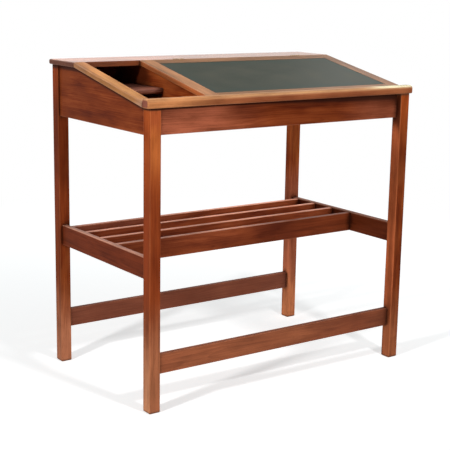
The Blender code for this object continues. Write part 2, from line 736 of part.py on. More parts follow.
def make_hinge_gains(host, side, places, turn):
    """Cut the beds of the leaves, barrels and screws into the ledge or the lid's back rail."""
    face = LID_BACK_GAP / 2
    half = HINGE_LENGTH / 2 + SEAT_GAP
    depth = face + LEAF_THICK + SEAT_GAP
    beds = [side_box(side, (x - half, x + half), (-face, depth), (-LEAF_HEIGHT - SEAT_GAP, barrel_radius))
            for x in places]
    barrels = [moved(rod_shape(barrel_radius + SEAT_GAP, -half, half, "X"), x) for x in places]
    screws = [moved(shape, x) for x in places for shape in screw_cutters(side)]
    for shapes in (beds, barrels, screws):
        tool = grouped(shapes)
        bmesh.ops.transform(tool, matrix=turn, verts=tool.verts)
        combine(host, tool, "DIFFERENCE")


def ride_on_lid(piece, pivot, place, turn):
    """Hang a piece of the hinge's frame on the lid's pivot."""
    piece.parent = pivot
    piece.location = turn @ place
    piece.rotation_euler = (-SLOPE, 0, 0)


def make_hinges(finish, pivot):
    """Butt hinges let into the ledge's front edge and the lid's back edge."""
    reach = (lid_right - lid_left) / 2 - HINGE_INSET
    lid_mid = (lid_left + lid_right) / 2
    places = [lid_mid + reach * (2 * i / (HINGE_COUNT - 1) - 1) for i in range(HINGE_COUNT)]
    on_axis = Matrix.Translation((0, bend_y, TOP_HEIGHT))
    in_lid = Matrix.Rotation(-SLOPE, 4, "X")
    make_hinge_gains(bpy.data.objects["back_ledge"], 1, places, on_axis)
    make_hinge_gains(bpy.data.objects["lid_back_rail"], -1, places, in_lid)
    for i, x in enumerate(places):
        name = f"hinge_{i + 1}"
        place = Vector((x, bend_y, TOP_HEIGHT))
        leaf = make_leaf(f"{name}_ledge_leaf", finish, 1, range(0, KNUCKLES, 2))
        leaf.location = place
        pin_shape = rod_shape(PIN_RADIUS, -HINGE_LENGTH / 2, HINGE_LENGTH / 2, "X")
        pin = add_piece(f"{name}_pin", pin_shape, finish)
        pin.location = place
        lid_leaf = make_leaf(f"{name}_lid_leaf", finish, -1, range(1, KNUCKLES, 2))
        ride_on_lid(lid_leaf, pivot, Vector((x, 0, 0)), in_lid)
        for number in range(SCREW_COUNT):
            screw = add_piece(f"{name}_ledge_screw_{number + 1}", screw_shape(1), finish)
            screw.location = place + Vector(screw_places(1)[number])
            screw = add_piece(f"{name}_lid_screw_{number + 1}", screw_shape(-1), finish)
            ride_on_lid(screw, pivot, Vector((x, 0, 0)) + Vector(screw_places(-1)[number]), in_lid)


def finish_pieces():
    """Smooth shading, and an origin of its own for every fixed piece that has none yet."""
    for piece in bpy.data.objects:
        if piece.type != "MESH":
            continue
        piece.data.shade_smooth()
        piece.data.set_sharp_from_angle(angle=SMOOTH_ANGLE)
        if piece.parent is None and piece.location.length == 0:
            corners = [Vector(corner) for corner in piece.bound_box]
            middle = sum(corners, Vector()) / len(corners)
            piece.data.transform(Matrix.Translation(-middle))
            piece.location = middle


def main():
    for old in list(bpy.data.objects):
        bpy.data.objects.remove(old, do_unlink=True)

    leg_teak = make_finish("leg_teak", (0.30, 0.095, 0.035), 0.40)
    dark_teak = make_finish("dark_teak", (0.20, 0.055, 0.024), 0.40)
    worn_teak = make_finish("worn_teak", (0.50, 0.26, 0.12), 0.42)
    ledge_teak = make_finish("ledge_teak", (0.36, 0.15, 0.075), 0.32)
    plain_wood = make_finish("plain_wood", (0.28, 0.13, 0.06), 0.60)
    inlay_green = make_finish("inlay_green", (0.105, 0.125, 0.10), 0.45)
    brass = make_finish("brass", (0.62, 0.44, 0.18), 0.35, 1.0)

    make_legs(leg_teak)
    make_aprons_and_stretchers(dark_teak)
    make_side_panels(dark_teak)
    make_divider(dark_teak)
    make_case_bottom(plain_wood)
    make_pen_shelf(dark_teak, plain_wood)
    make_shelf(dark_teak)
    make_ledge(ledge_teak)
    make_front_rail(worn_teak)
    make_slope_rail(worn_teak)
    make_dowels(plain_wood)
    cut_recesses()

    pivot = bpy.data.objects.new("lid_pivot", None)
    bpy.context.scene.collection.objects.link(pivot)
    pivot.location = (0, bend_y, TOP_HEIGHT)
    pivot.rotation_euler = (SLOPE, 0, 0)
    lid = make_lid(worn_teak, plain_wood, inlay_green)
    make_hinges(brass, pivot)
    for piece in lid:
        piece.parent = pivot
    finish_pieces()


main()
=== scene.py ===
import math
import random

import bpy
from mathutils import Matrix, Vector

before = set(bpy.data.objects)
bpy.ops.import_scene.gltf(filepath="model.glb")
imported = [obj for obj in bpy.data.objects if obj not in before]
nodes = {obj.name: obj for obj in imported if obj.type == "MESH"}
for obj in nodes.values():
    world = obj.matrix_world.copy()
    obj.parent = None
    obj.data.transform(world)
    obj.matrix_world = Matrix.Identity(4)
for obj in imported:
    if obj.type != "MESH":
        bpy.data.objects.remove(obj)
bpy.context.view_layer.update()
print("frame loaded with", len(nodes), "pieces")


# the photograph's view
photoView = {
    "place": (-2.3624, -3.2896, 1.3916),
    "yaw": 35.381,         # degrees, from +Y towards +X
    "pitch": 12.278,       # degrees, down
    "roll": 0.964,         # degrees
    "focalPixels": 1128.4,
    "imagePixels": 450,
    "sensorWidth": 36.0,
}


def setCamera(look):
    yaw, pitch, roll = (math.radians(look[key]) for key in ("yaw", "pitch", "roll"))
    ahead = Vector((math.sin(yaw) * math.cos(pitch), math.cos(yaw) * math.cos(pitch), -math.sin(pitch)))
    right = Vector((math.cos(yaw), -math.sin(yaw), 0))
    up = right.cross(ahead)
    side = right * math.cos(roll) + up * math.sin(roll)
    top = up * math.cos(roll) - right * math.sin(roll)
    lens = bpy.data.cameras.new("photoCamera")
    lens.sensor_width = look["sensorWidth"]
    lens.lens = look["sensorWidth"] * look["focalPixels"] / look["imagePixels"]
    camera = bpy.data.objects.new("photoCamera", lens)
    bpy.context.scene.collection.objects.link(camera)
    turn = Matrix((side, top, -ahead)).transposed().to_4x4()
    camera.matrix_world = Matrix.Translation(look["place"]) @ turn
    bpy.context.scene.camera = camera


setCamera(photoView)
bpy.context.scene.view_settings.view_transform = "Standard"
print("camera set")


# a node's output that can stand in Python sums
class Wire:
    def __init__(self, bench, end):
        self.bench = bench
        self.end = end

    def __add__(self, other):
        return self.bench.maths("ADD", self, other)

    def __sub__(self, other):
        return self.bench.maths("SUBTRACT", self, other)

    def __rsub__(self, other):
        return self.bench.maths("SUBTRACT", other, self)

    def __mul__(self, other):
        return self.bench.maths("MULTIPLY", self, other)

    def __truediv__(self, other):
        return self.bench.maths("DIVIDE", self, other)

    def __pow__(self, other):
        return self.bench.maths("POWER", self, other)

    __radd__ = __add__
    __rmul__ = __mul__


# one node tree, with short ways to add what the finishes need
class Bench:
    def __init__(self, tree):
        self.tree = tree
        tree.nodes.clear()

    def node(self, kind, settings=None, sockets=None, out=0):
        made = self.tree.nodes.new(kind)
        for key, value in (settings or {}).items():
            if key == "stops":
                self.setStops(made.color_ramp, value)
            else:
                setattr(made, key, value)
        for key, value in (sockets or {}).items():
            if isinstance(value, Wire):
                self.tree.links.new(value.end, made.inputs[key])
            else:
                made.inputs[key].default_value = value
        return Wire(self, made.outputs[out])

    def setStops(self, ramp, stops):
        while len(ramp.elements) < len(stops):
            ramp.elements.new(1.0)
        for element, (place, colour) in zip(ramp.elements, stops):
            element.position = place
            element.color = (*colour, 1.0)

    def maths(self, operation, *values):
        return self.node("ShaderNodeMath", {"operation": operation}, dict(enumerate(values)))

    def vectorMaths(self, operation, *values, out="Vector"):
        return self.node("ShaderNodeVectorMath", {"operation": operation}, dict(enumerate(values)), out)

    def smooth(self, value, low, high):
        settings = {"interpolation_type": "SMOOTHSTEP", "clamp": True}
        return self.node("ShaderNodeMapRange", settings, {"Value": value, "From Min": low, "From Max": high})

    def vector(self, x, y, z):
        return self.node("ShaderNodeCombineXYZ", None, {"X": x, "Y": y, "Z": z})

    def split(self, vector):
        made = self.node("ShaderNodeSeparateXYZ", None, {"Vector": vector})
        return [Wire(self, end) for end in made.end.node.outputs]

    def noise(self, vector, scale=1.0, detail=2.0, roughness=0.5):
        sockets = {"Vector": vector, "Scale": scale, "Detail": detail, "Roughness": roughness}
        return self.node("ShaderNodeTexNoise", {"noise_dimensions": "3D"}, sockets)

    def ramp(self, value, stops):
        return self.node("ShaderNodeValToRGB", {"stops": stops}, {"Fac": value})

    def mix(self, share, first, second, blend="MIX"):
        colours = [c if isinstance(c, Wire) else (*c, 1.0) for c in (first, second)]
        settings = {"data_type": "RGBA", "blend_type": blend}
        return self.node("ShaderNodeMix", settings, {0: share, 6: colours[0], 7: colours[1]}, out=2)

    def bump(self, height, strength, distance):
        sockets = {"Strength": strength, "Distance": distance, "Height": height}
        return self.node("ShaderNodeBump", None, sockets)

    def skin(self, **sockets):
        named = {key.replace("_", " "): value for key, value in sockets.items()}
        self.finish(self.node("ShaderNodeBsdfPrincipled", None, named))

    def finish(self, shader, kind="ShaderNodeOutputMaterial"):
        self.tree.links.new(shader.end, self.tree.nodes.new(kind).inputs["Surface"])


def newMaterial(name):
    material = bpy.data.materials.new(name)
    material.use_nodes = True
    return material, Bench(material.node_tree)


# studio: the floor has two lamps of its own, for its narrow shadows
studio = {
    "floorSize": 600.0,
    "floorGrey": 0.92,
    "floorLift": 0.590,
    "liftRise": (0.125, 0.110, 0.0),         # per metre, away from the floor's lamps
    "liftTint": (0.970, 1.0, 1.006),         # evens out the red that the wood throws on the floor
    "liftBounce": 0.55,                      # share of the lift that lights the desk
    "fadeStart": 1.3,                        # metres from the desk's middle
    "fadeEnd": 3.2,                          # plain white from here on
    "ambient": 0.12,
    "skyBand": (0.14, 0.40),                 # sines of the heights between which the mirrored sky dims
    "skyDim": 0.30,
    "aim": (0, 0, 0.65),
    "lamps": [
        {"name": "topLamp", "place": (0.0, -1.0, 3.2), "size": 2.0, "watts": 50, "lights": "desk"},
        {"name": "frontLamp", "place": (0.5, -3.0, 2.1), "size": 0.28, "watts": 32, "lights": "desk"},
        {"name": "frontLowLamp", "place": (-2.0, -2.2, 0.65), "size": 1.0, "watts": 34, "lights": "desk"},
        {"name": "leftLamp", "place": (-3.0, -0.30, 1.95), "size": 0.28, "watts": 36, "lights": "desk"},
        {"name": "rightLamp", "place": (2.9, -0.6, 2.4), "size": 0.9, "watts": 40, "lights": "desk"},
        {"name": "backLamp", "place": (-0.9, 2.2, 3.0), "size": 1.4, "watts": 50, "lights": "desk"},
        {"name": "rimLamp", "place": (2.2, 1.5, 2.3), "size": 0.6, "watts": 2, "lights": "desk"},
        {"name": "leftFloorLamp", "place": (-3.3, -1.0, 1.95), "size": 0.28, "watts": 70, "lights": "floor"},
        {"name": "frontFloorLamp", "place": (0.0, -2.86, 2.95), "size": 0.28, "watts": 42, "lights": "floor"},
    ],
}


def seenRays(bench):
    path = bench.node("ShaderNodeLightPath").end.node.outputs
    camera, glossy, through = (Wire(bench, path[name]) for name in
                               ("Is Camera Ray", "Is Glossy Ray", "Is Transmission Ray"))
    return camera, bench.maths("MAXIMUM", glossy, through)


def makeFloor(look):
    half = look["floorSize"] / 2
    mesh = bpy.data.meshes.new("studioFloor")
    corners = [(-half, -half, 0), (half, -half, 0), (half, half, 0), (-half, half, 0)]
    mesh.from_pydata(corners, [], [(0, 1, 2, 3)])
    floor = bpy.data.objects.new("studioFloor", mesh)
    bpy.context.scene.collection.objects.link(floor)
    material, bench = newMaterial("studioFloor")
    camera, mirrored = seenRays(bench)
    seen = bench.maths("MAXIMUM", camera, mirrored)
    spot = bench.node("ShaderNodeTexCoord", out="Object")
    distance = bench.vectorMaths("LENGTH", spot, out="Value")
    far = bench.smooth(distance, look["fadeStart"], look["fadeEnd"])
    matt = bench.node("ShaderNodeBsdfDiffuse", None, {"Color": (look["floorGrey"],) * 3 + (1.0,)})
    rise = bench.vectorMaths("DOT_PRODUCT", spot, look["liftRise"], out="Value")
    glow = (rise + look["floorLift"]) * (seen + (1 - seen) * (1 - far) * look["liftBounce"])
    tinted = bench.mix(1.0, glow, look["liftTint"], "MULTIPLY")
    lift = bench.node("ShaderNodeEmission", None, {"Color": tinted})
    near = bench.node("ShaderNodeAddShader", None, {0: matt, 1: lift})
    white = bench.node("ShaderNodeEmission", None, {"Strength": 1.0})
    bench.finish(bench.node("ShaderNodeMixShader", None, {0: far * seen, 1: near, 2: white}))
    mesh.materials.append(material)
    return floor


def makeWorld(look):
    world = bpy.data.worlds.new("studioWorld")
    bpy.context.scene.world = world
    world.use_nodes = True
    bench = Bench(world.node_tree)
    camera, mirrored = seenRays(bench)
    up = bench.split(bench.node("ShaderNodeTexCoord", out="Generated"))[2]
    sky = 1 - bench.smooth(up, *look["skyBand"]) * (1 - look["skyDim"])
    unseen = mirrored * (sky - look["ambient"]) + look["ambient"]
    strength = camera + (1 - camera) * unseen
    bench.finish(bench.node("ShaderNodeBackground", None, {"Color": (1, 1, 1, 1), "Strength": strength}),
                 kind="ShaderNodeOutputWorld")


def makeLamps(look, floor):
    aim = Vector(look["aim"])
    reach = {}
    for lights, state in (("desk", "EXCLUDE"), ("floor", "INCLUDE")):
        reach[lights] = bpy.data.collections.new(lights + "Light")
        reach[lights].objects.link(floor)
        reach[lights].collection_objects[0].light_linking.link_state = state
    for lamp in look["lamps"]:
        light = bpy.data.lights.new(lamp["name"], "AREA")
        light.shape = "DISK"
        light.size = lamp["size"]
        light.energy = lamp["watts"]
        made = bpy.data.objects.new(lamp["name"], light)
        bpy.context.scene.collection.objects.link(made)
        made.location = lamp["place"]
        made.rotation_euler = (aim - Vector(lamp["place"])).to_track_quat("-Z", "Y").to_euler()
        made.light_linking.receiver_collection = reach[lamp["lights"]]


makeWorld(studio)
makeLamps(studio, makeFloor(studio))
print("studio lit")


# boards: each wood piece has a frame of its own, along the grain, across it and through it
deskSlope = math.radians(11.6)
slopedPieces = ("left_slope_rail", "lid_")
axes = ("along", "across", "through")


def boardFrame(name):
    tilt = deskSlope if name.startswith(slopedPieces) else 0.0
    turn = Matrix.Rotation(-tilt, 3, "X")
    points = [turn @ vert.co for vert in nodes[name].data.vertices]
    low = Vector([min(p[i] for p in points) for i in range(3)])
    high = Vector([max(p[i] for p in points) for i in range(3)])
    half = (high - low) / 2
    order = sorted(range(3), key=lambda i: -half[i])
    if name.startswith("leg_"):     # square, so its sides need an order of their own
        order = [2, 0, 1]
    if name == "pen_shelf":     # its grain runs across its longer side
        order = [0, 1, 2]
    return {"tilt": tilt, "middle": (high + low) / 2, "half": [half[i] for i in order], "order": order}


def boardPlaces(bench, board):
    spot = bench.node("ShaderNodeTexCoord", out="Object")
    if board["tilt"]:
        spot = bench.node("ShaderNodeVectorRotate", {"rotation_type": "X_AXIS"},
                          {"Vector": spot, "Angle": -board["tilt"]})
    parts = bench.split(bench.vectorMaths("SUBTRACT", spot, board["middle"]))
    return [parts[i] for i in board["order"]]


# finishes of the wood, colours in linear light
teak = {
    "leg": {"light": (0.37, 0.089, 0.020), "mid": (0.22, 0.040, 0.009), "dark": (0.12, 0.018, 0.005),
            "flush": (0.30, 0.075, 0.020), "edge": (0.36, 0.13, 0.05), "end": (0.070, 0.034, 0.020),
            "wear": 0.35, "rough": 0.42, "gloss": 0.02, "lacquer": 0.0, "endWidth": 0.011},
    "dark": {"light": (0.26, 0.055, 0.014), "mid": (0.165, 0.029, 0.0065), "dark": (0.088, 0.013, 0.0040),
             "flush": (0.21, 0.043, 0.011), "edge": (0.36, 0.13, 0.07), "end": (0.12, 0.04, 0.025),
             "wear": 0.40, "rough": 0.42, "gloss": 0.025, "lacquer": 0.0},
    "slat": {"light": (0.26, 0.061, 0.022), "mid": (0.168, 0.035, 0.0125), "dark": (0.088, 0.016, 0.0065),
             "flush": (0.21, 0.045, 0.014), "edge": (0.40, 0.15, 0.08), "end": (0.12, 0.04, 0.025),
             "wear": 0.40, "rough": 0.40, "gloss": 0.02, "lacquer": 0.18},
    "stretcher": {"light": (0.26, 0.080, 0.032), "mid": (0.180, 0.048, 0.021), "dark": (0.100, 0.025, 0.0115),
                  "flush": (0.23, 0.060, 0.025), "edge": (0.36, 0.14, 0.08), "end": (0.12, 0.04, 0.025),
                  "wear": 0.40, "rough": 0.42, "gloss": 0.05, "lacquer": 0.0, "broad": 0.5},
    "rail": {"light": (0.30, 0.095, 0.036), "mid": (0.21, 0.060, 0.022), "dark": (0.13, 0.032, 0.011),
             "flush": (0.26, 0.082, 0.030), "edge": (0.42, 0.19, 0.08), "end": (0.17, 0.050, 0.040),
             "wear": 0.30, "rough": 0.42, "gloss": 0.06, "lacquer": 0.0},
    "slope": {"light": (0.51, 0.25, 0.095), "mid": (0.39, 0.172, 0.056), "dark": (0.25, 0.098, 0.032),
              "flush": (0.47, 0.210, 0.066), "edge": (0.34, 0.15, 0.06), "end": (0.15, 0.058, 0.042),
              "wear": 0.10, "rough": 0.42, "gloss": 0.08, "lacquer": 0.0},
    "lid": {"light": (0.25, 0.120, 0.052), "mid": (0.185, 0.087, 0.038), "dark": (0.12, 0.055, 0.024),
            "flush": (0.22, 0.10, 0.042), "edge": (0.50, 0.24, 0.115), "end": (0.16, 0.07, 0.04),
            "wear": 0.60, "rough": 0.42, "gloss": 0.22, "lacquer": 0.0},
    "ledge": {"light": (0.44, 0.20, 0.115), "mid": (0.34, 0.145, 0.080), "dark": (0.23, 0.088, 0.048),
              "flush": (0.39, 0.17, 0.095), "edge": (0.11, 0.034, 0.018), "end": (0.055, 0.016, 0.012),
              "wear": 0.60, "rough": 0.30, "gloss": 0.05, "lacquer": 0.70, "endWidth": 0.006},
    "shelf": {"light": (0.16, 0.058, 0.034), "mid": (0.105, 0.034, 0.020), "dark": (0.06, 0.018, 0.011),
              "flush": (0.13, 0.044, 0.026), "edge": (0.16, 0.065, 0.042), "end": (0.07, 0.024, 0.016),
              "wear": 0.35, "rough": 0.40, "gloss": 0.20, "lacquer": 0.0},
    "inner": {"light": (0.34, 0.16, 0.07), "mid": (0.25, 0.105, 0.045), "dark": (0.16, 0.06, 0.026),
              "flush": (0.29, 0.125, 0.05), "edge": (0.20, 0.09, 0.045), "end": (0.16, 0.07, 0.04),
              "wear": 0.25, "rough": 0.62, "gloss": 0.08, "lacquer": 0.0},
}
# the wood's figure: lengths in metres, noise scales per metre, along and across the grain
figure = {
    "noises": {
        "drift": {"scale": (2.2, 9.0), "shift": 0, "detail": 2.0, "roughness": 0.5},
        "fibre": {"scale": (6.0, 400.0), "shift": 0, "detail": 3.0, "roughness": 0.6},
        "streak": {"scale": (2.0, 44.0), "shift": 5, "detail": 2.0, "roughness": 0.5},
        "mottle": {"scale": (6.0, 20.0), "shift": 9, "detail": 3.0, "roughness": 0.5},
        "pore": {"scale": (60.0, 1500.0), "shift": 0, "detail": 1.0, "roughness": 0.5},
        "flush": {"scale": (6.0, 17.0), "shift": 17, "detail": 2.0, "roughness": 0.5},
    },
    "shiftRange": 40,
    "pithAcross": 0.05,
    "pithBelow": (0.06, 0.13),
    "wander": 0.030,
    "ringWidth": 0.0046,
    "ringPower": 2.5,
    "ringEnd": (0.9, 1.0),
    "ringMean": 0.25,
    "shares": {"fibre": 0.70, "streak": 0.75, "mottle": 1.0, "ring": 0.14},
    "toneSpread": 0.05,
    "toneStops": (0.25, 0.50, 0.78),     # light, mid and dark wood
    "flushRange": (0.44, 0.68),
    "flushShare": 0.55,
    "poreRange": (0.60, 0.72),
    "poreShare": 0.40,
    "tintRange": (1.30, 0.60),           # a tint's change on the light and the dark wood
    "tintFade": (1.3, 0.6),              # its strength, and how much the dark wood takes off
    "tintDrift": 0.12,
    "wearWidth": 0.0032,
    "endWidth": 0.0006,
    "endShare": 0.8,
    # painted shade in the corners where boards meet: its colour, reach, samples, range and share
    "paintedShade": (0.018, 0.0048, 0.0028),
    "paintedShadeReach": 0.034,
    "paintedShadeSamples": 6,
    "paintedShadeRange": (0.90, 0.52),
    "paintedShadeShare": 0.88,
    "cleanFoot": (0.012, 0.045),         # above the floor
    # painted shadow under the overhangs: its fade with depth and its share
    "lipFade": (0.65, 1.45),
    "lipShare": 0.86,
    "bumpShares": {"fibre": 0.5, "pore": 0.8},
    "bumpHeight": 0.00020,
    "bumpStrength": 0.30,
    "roughShares": {"fibre": 0.16, "end": 0.2},
    "lacquerDepth": (0.004, 0.001),      # below the upper face
    "lacquerFade": (1.2, 0.4),           # its strength, and how much the fibres take off
    "lacquerRough": 0.22,
}
# what single boards have of their own: a lighter or darker shade, tints that begin and are full at two
# places along, across or through the board (some of them painted light and shade), less painted shade in the
# corners, a painted shadow under the overhang
wholeLength = (-1.0, -0.9)
leftFace = (-0.014, -0.0195)     # these three are across a leg
leftEdge = (-0.0175, -0.0205)
otherFaces = (-0.0205, -0.0165)
# painted highlight: the slats' upper faces pale, where the light falls on them
slatTopHighlight = {"across": (0.0335, 0.0348), "share": 0.80, "colour": (0.72, 0.330, 0.220)}
middleSlat = {"shade": 1.3, "tints": [slatTopHighlight], "clean": {"along": wholeLength, "share": 0.60}}
boards = {
    "leg_front_left": {
        # painted shadow under the front rail
        "lip": {"depth": 0.006},
        "tints": [
            {"across": leftFace, "share": 0.50, "colour": (0.27, 0.050, 0.010)},
            {"along": (0.24, 0.34), "across": otherFaces, "share": 0.38, "colour": (0.46, 0.135, 0.033)},
            {"along": (0.41, 0.45), "across": otherFaces, "share": 0.80, "colour": (0.25, 0.052, 0.016)},
            {"along": (0.40, 0.16), "share": 0.74, "colour": (0.14, 0.023, 0.006)},
            # painted floor light: paler towards the foot
            {"along": (-0.10, -0.44), "share": 0.85, "colour": (0.42, 0.180, 0.090)},
            {"along": (-0.10, -0.40), "across": otherFaces, "share": 0.75, "colour": (0.25, 0.076, 0.032)},
        ],
    },
    "leg_back_left": {
        "shade": 0.95,
        # painted shadow under the ledge
        "lip": {"depth": 0.013},
        "tints": [
            {"across": leftFace, "share": 0.60, "colour": (0.110, 0.018, 0.003)},
            # painted shade: darker on the upper part, under the case
            {"along": (-0.12, 0.10), "share": 0.65, "colour": (0.125, 0.019, 0.005)},
            {"along": (0.38, 0.50), "share": 0.75, "colour": (0.31, 0.053, 0.011)},
            # painted floor light: paler towards the foot
            {"along": (-0.21, -0.47), "share": 0.85, "colour": (0.40, 0.150, 0.076)},
        ],
    },
    "leg_front_right": {
        "shade": 0.76,
        "clean": {"along": (0.46, 0.50), "share": 0.85},
        "tints": [
            # painted light: the left face paler
            {"across": leftFace, "share": 0.85, "colour": (0.56, 0.138, 0.049)},
            {"along": (0.26, 0.46), "across": otherFaces, "share": 0.60, "colour": (0.47, 0.092, 0.018)},
            # painted shadow: a dark strip on the left face beside the apron, near the top
            {"along": (0.33, 0.39), "across": leftEdge, "share": 0.85, "colour": (0.075, 0.016, 0.006)},
            # painted floor light: paler towards the foot
            {"along": (-0.20, -0.42), "share": 0.62, "colour": (0.40, 0.132, 0.056)},
        ],
    },
    "leg_back_right": {
        "tints": [
            # painted floor light: paler from the middle down, and most at the foot
            {"along": (0.14, 0.00), "share": 0.80, "colour": (0.36, 0.105, 0.052)},
            {"along": (-0.32, -0.43), "share": 0.88, "colour": (0.60, 0.200, 0.082)},
        ],
    },
    "front_apron": {
        "shade": 0.80,
        "clean": {"along": (0.42, -0.40), "share": 0.70},
        # painted shadow under the front rail, deeper towards the right end
        "lip": {"depth": (0.0075, 0.021), "along": (-0.30, 0.50)},
        "tints": [
            # painted sheen: paler towards the left end
            {"along": (-0.05, -0.36), "share": 0.75, "colour": (0.36, 0.100, 0.050)},
            {"along": (0.20, 0.42), "share": 0.62, "colour": (0.29, 0.080, 0.040)},
        ],
    },
    "left_side_panel": {
        "shade": 0.85,
        "clean": {"along": (0.16, 0.13), "share": 0.55},
        # painted shadow under the top; the underside of the top: its height under the ledge, and the y and
        # height of its bend
        "lip": {"depth": 0.014, "ledge": 1.091, "bend": 0.148, "slope": 1.0906},
    },
    "front_rail": {
        "tints": [
            # golden upper part: wear on the rubbed edge, and painted light on the lit upper face
            {"through": (0.001, 0.0105), "share": 0.85, "colour": (0.355, 0.185, 0.084)},
            {"along": (-0.20, -0.44), "share": 0.60, "colour": (0.41, 0.168, 0.060)},
            {"along": (-0.14, -0.02), "through": (0.0105, 0.0135),
             "share": 0.55, "colour": (0.25, 0.130, 0.064)},
            # painted highlight: the upper face pale at the right end
            {"along": (0.31, 0.46), "through": (0.007, 0.0122),
             "share": 0.95, "colour": (0.56, 0.500, 0.320)},
        ],
    },
    "left_slope_rail": {
        "tints": [
            {"across": (-0.0180, -0.0225), "share": 0.70, "colour": (0.25, 0.100, 0.029)},
            {"along": (0.02, 0.08), "share": 0.45, "colour": (0.60, 0.260, 0.090)},
            {"along": (0.12, 0.18), "share": 0.75, "colour": (0.33, 0.150, 0.070)},
            {"along": (-0.17, -0.23), "share": 0.60, "colour": (0.34, 0.205, 0.145)},
        ],
    },
    "back_ledge": {
        "tints": [
            {"across": (-0.0915, -0.0928), "share": 0.92, "colour": (0.155, 0.038, 0.012)},
            # painted reflection: the upper face paler towards the left end
            {"along": (0.05, -0.30), "through": (0.0080, 0.0098),
             "share": 0.60, "colour": (0.72, 0.225, 0.110)},
        ],
    },
    "lid_left_stile": {
        "tints": [
            {"across": (-0.0235, -0.0248), "share": 0.95, "colour": (0.50, 0.140, 0.040)},
            {"across": (-0.0248, -0.0235), "share": 0.65, "colour": (0.34, 0.155, 0.070)},
        ],
    },
    # painted highlight: the whole right stile lighter
    "lid_right_stile": {"shade": 1.10},
    "compartment_divider": {
        "shade": 1.10,
        "clean": {"along": wholeLength, "share": 0.60},
        # painted shadow: darker towards the back of the compartment, under the ledge
        "tints": [{"along": (0.06, 0.12), "share": 0.75, "colour": (0.035, 0.007, 0.003)}],
    },
    "pen_shelf": {
        "shade": 1.6,
        # painted shade: darker towards the back, under the ledge
        "tints": [{"across": (-0.115, -0.055), "share": 0.85, "colour": (0.030, 0.010, 0.007)}],
    },
    "front_stretcher": {
        "tints": [
            {"along": (0.30, 0.05), "share": 0.55, "colour": (0.300, 0.094, 0.040)},
            # painted shade: darker at the right end, next to the leg
            {"along": (0.42, 0.52), "share": 0.60, "colour": (0.06, 0.015, 0.007)},
        ],
    },
    "back_stretcher": {
        "shade": 1.05,
        "tints": [{"along": wholeLength, "share": 0.55, "colour": (0.150, 0.047, 0.029)}],
    },
    "shelf_rail_left": {
        "shade": 0.59,
        "tints": [
            # painted highlight: the upper face pale
            {"across": (0.0335, 0.0352), "share": 0.90, "colour": (0.96, 0.440, 0.290)},
            {"across": (0.0352, 0.0335), "share": 0.55, "colour": (0.20, 0.032, 0.009)},
        ],
    },
    "shelf_rail_right": {
        "shade": 0.72,
        "tints": [
            # painted highlight: the upper face pale
            {"across": (0.0320, 0.0345), "share": 0.90, "colour": (0.80, 0.400, 0.270)},
            {"along": (0.60, 0.30), "share": 0.55, "colour": (0.085, 0.015, 0.006)},
        ],
    },
    "shelf_slat_1": {
        "shade": 1.2,
        "tints": [
            slatTopHighlight,
            # painted light and sheen: lighter and greyer towards the left end
            {"along": (0.10, -0.40), "share": 0.45, "colour": (0.20, 0.070, 0.046)},
        ],
    },
    "shelf_slat_2": middleSlat,
    "shelf_slat_3": middleSlat,
    "shelf_slat_4": {
        "tints": [
            slatTopHighlight,
            {"along": (-0.05, 0.16), "share": 0.65, "colour": (0.070, 0.012, 0.005)},
            {"along": (0.18, 0.30), "share": 0.60, "colour": (0.185, 0.038, 0.012)},
        ],
    },
}


def grainNoise(bench, places, noise, shift):
    along, across, through = places
    lengthways, sideways = noise["scale"]
    spot = bench.vector(along * lengthways + (shift + noise["shift"]), across * sideways, through * sideways)
    return bench.noise(spot, detail=noise["detail"], roughness=noise["roughness"])


def tintReach(bench, places, tint, strength):
    bands = [bench.smooth(place, *tint[axis]) for axis, place in zip(axes, places) if axis in tint]
    reach = bands[0] * strength * tint["share"]
    for band in bands[1:]:
        reach = reach * band
    return reach


# painted shadow: a dark band on the board below an overhang, down to the given depth
def paintedLipShadow(bench, board, places, band):
    height = board["order"].index(2)
    drop = board["half"][height] - places[height]
    if "slope" in band:     # the board's top follows the slope, up to the ledge
        y = places[board["order"].index(1)] + board["middle"][1]
        z = places[height] + board["middle"][2]
        slope = (y - band["bend"]) * math.tan(deskSlope) + band["slope"]
        drop = bench.maths("MINIMUM", slope, band["ledge"]) - z
    depth = band["depth"]
    if "along" in band:     # deeper towards one end
        first, last = depth
        depth = bench.smooth(places[0], *band["along"]) * (last - first) + first
    return (1 - bench.smooth(drop / depth, *figure["lipFade"])) * figure["lipShare"]


